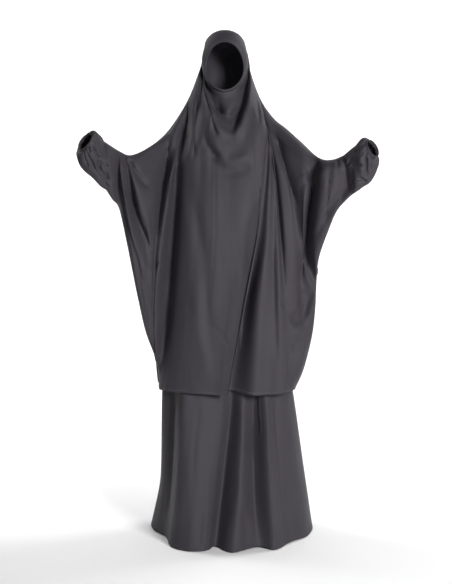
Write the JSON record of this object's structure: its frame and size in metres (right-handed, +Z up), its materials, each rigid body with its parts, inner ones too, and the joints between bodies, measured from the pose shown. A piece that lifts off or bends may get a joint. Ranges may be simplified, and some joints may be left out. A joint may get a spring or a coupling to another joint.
{
  "type": "two-piece jilbab",
  "caption": "Overhead cloth top with hood, face opening, batwing body and cuffed sleeves, over a flared floor-length skirt, hollow as worn.",
  "frame": {"origin": "inside of the hood's crown, where the wearer's head carries the top", "axes": "+Z up along the standing wearer, the garment faces -Y, +X is on the viewer's right"},
  "size_m": [0.967, 0.5657, 1.7233],
  "materials": {
    "cloth": "charcoal woven polyester crepe, matte with a soft sheen",
    "elastic_casing": "the same cloth, gathered over flat elastic"
  },
  "bodies": {
    "root": {"jilbab_front": "cloth", "jilbab_back": "cloth", "face_band": "cloth", "sleeve_left": "cloth", "sleeve_right": "cloth", "cuff_left": "elastic_casing", "cuff_right": "elastic_casing", "skirt_front": "cloth", "skirt_back": "cloth", "skirt_waistband": "elastic_casing"}
  },
  "joints": []
}
